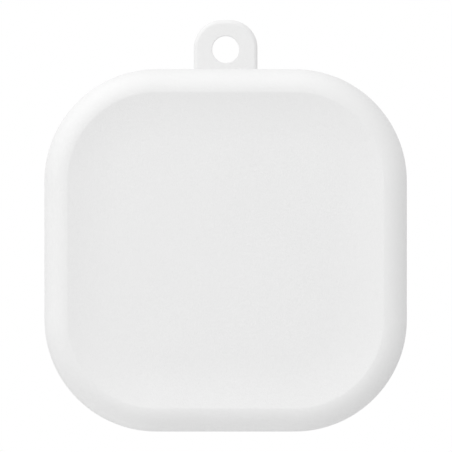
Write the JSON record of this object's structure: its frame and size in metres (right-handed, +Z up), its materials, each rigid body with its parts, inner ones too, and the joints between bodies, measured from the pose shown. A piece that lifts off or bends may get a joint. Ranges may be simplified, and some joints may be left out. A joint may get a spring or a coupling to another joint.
{
  "type": "zigbee range extender",
  "caption": "Square wall plug-in radio repeater with large corner radii, a dished front, a screw tab on top, a side push button and a flat-blade mains plug behind.",
  "frame": {"origin": "middle of the body's flat back face, on the plane of the outlet's cover plate", "axes": "+X to the right seen from the front, +Y into the wall along the plug blades, +Z up; the dished front faces -Y"},
  "size_m": [0.052, 0.0447, 0.0593],
  "materials": {
    "shell_white": "satin moulded ABS, off-white",
    "button_white": "satin moulded ABS, off-white",
    "blade_nickel": "nickel-plated brass strip",
    "screw_zinc": "zinc-plated steel",
    "retainer_black": "glass-filled nylon",
    "spring_bronze": "phosphor bronze strip",
    "board_green": "glass-epoxy board with solder mask",
    "solder_bright": "bright solder",
    "lead_tin": "tinned wire",
    "resistor_coat": "grey-blue flameproof coating",
    "varistor_coat": "blue epoxy dip",
    "disc_coat": "light blue epoxy dip",
    "film_box": "yellow moulded box",
    "ferrite": "sintered ferrite, dark grey",
    "choke_wire": "enamelled copper winding",
    "chip_black": "moulded epoxy",
    "can_aluminium": "drawn aluminium can",
    "bulk_sleeve": "dark brown shrink sleeve",
    "output_sleeve": "dark blue shrink sleeve",
    "leg_tin": "tinned copper strip",
    "chip_part": "chip capacitor body",
    "bobbin_black": "phenolic moulding",
    "winding_tape": "yellow polyester tape",
    "header_black": "moulded nylon",
    "pin_gold": "gold-flashed brass",
    "sheet_black": "flame-retardant polypropylene film",
    "shield_tin": "tinned steel sheet",
    "crystal_lid": "nickel lid on a ceramic tray",
    "trace_gold": "gold-flashed copper",
    "led_lens": "diffusing resin",
    "clear_guide": "clear polycarbonate",
    "switch_black": "moulded nylon",
    "switch_steel": "stainless sheet",
    "plunger_grey": "moulded acetal"
  },
  "bodies": {
    "body": {"front_cover": "shell_white", "rear_housing": "shell_white", "case_screws": "screw_zinc", "neutral_blade": "blade_nickel", "line_blade": "blade_nickel", "blade_retainer": "retainer_black", "neutral_contact_spring": "spring_bronze", "line_contact_spring": "spring_bronze", "power_board": "board_green", "power_board_screws": "screw_zinc", "solder_joints": "solder_bright", "part_lead_wires": "lead_tin", "fusible_resistor": "resistor_coat", "varistor": "varistor_coat", "film_capacitor": "film_box", "filter_choke": "ferrite", "choke_winding": "choke_wire", "bridge_rectifier": "chip_black", "bulk_capacitors": "can_aluminium", "bulk_capacitor_sleeves": "bulk_sleeve", "switching_controller": "chip_black", "power_chip_legs": "leg_tin", "power_chips": "chip_part", "transformer_core": "ferrite", "transformer_bobbin": "bobbin_black", "transformer_winding": "winding_tape", "transformer_pins": "lead_tin", "safety_capacitor": "disc_coat", "output_diode": "chip_black", "output_capacitor": "can_aluminium", "output_capacitor_sleeve": "output_sleeve", "header_spacer": "header_black", "header_pins": "pin_gold", "header_socket": "header_black", "header_socket_pins": "pin_gold", "radio_board": "board_green", "radio_board_screws": "screw_zinc", "insulation_sheet": "sheet_black", "shield_can": "shield_tin", "radio_chip": "chip_black", "radio_crystal": "crystal_lid", "antenna_trace": "trace_gold", "voltage_regulator": "chip_black", "voltage_regulator_legs": "leg_tin", "radio_chips": "chip_part", "status_led": "led_lens", "light_guide": "clear_guide", "switch_body": "switch_black", "switch_frame": "switch_steel", "switch_dome": "switch_steel", "switch_terminals": "leg_tin"},
    "button": {"button_cap": "button_white"},
    "plunger": {"switch_plunger": "plunger_grey"}
  },
  "joints": [
    {"name": "button_press", "type": "slide", "parent": "body", "child": "button", "axis": [-1, 0, 0], "range_m": [0, 0.00035], "stiffness_N_per_m": 3000},
    {"name": "plunger_travel", "type": "slide", "parent": "body", "child": "plunger", "axis": [-1, 0, 0], "range_m": [0, 0.00035], "deforming": ["switch_dome"]}
  ],
  "couplings": [
    {"joint": "plunger_travel", "follows": "button_press", "ratio": 1}
  ]
}
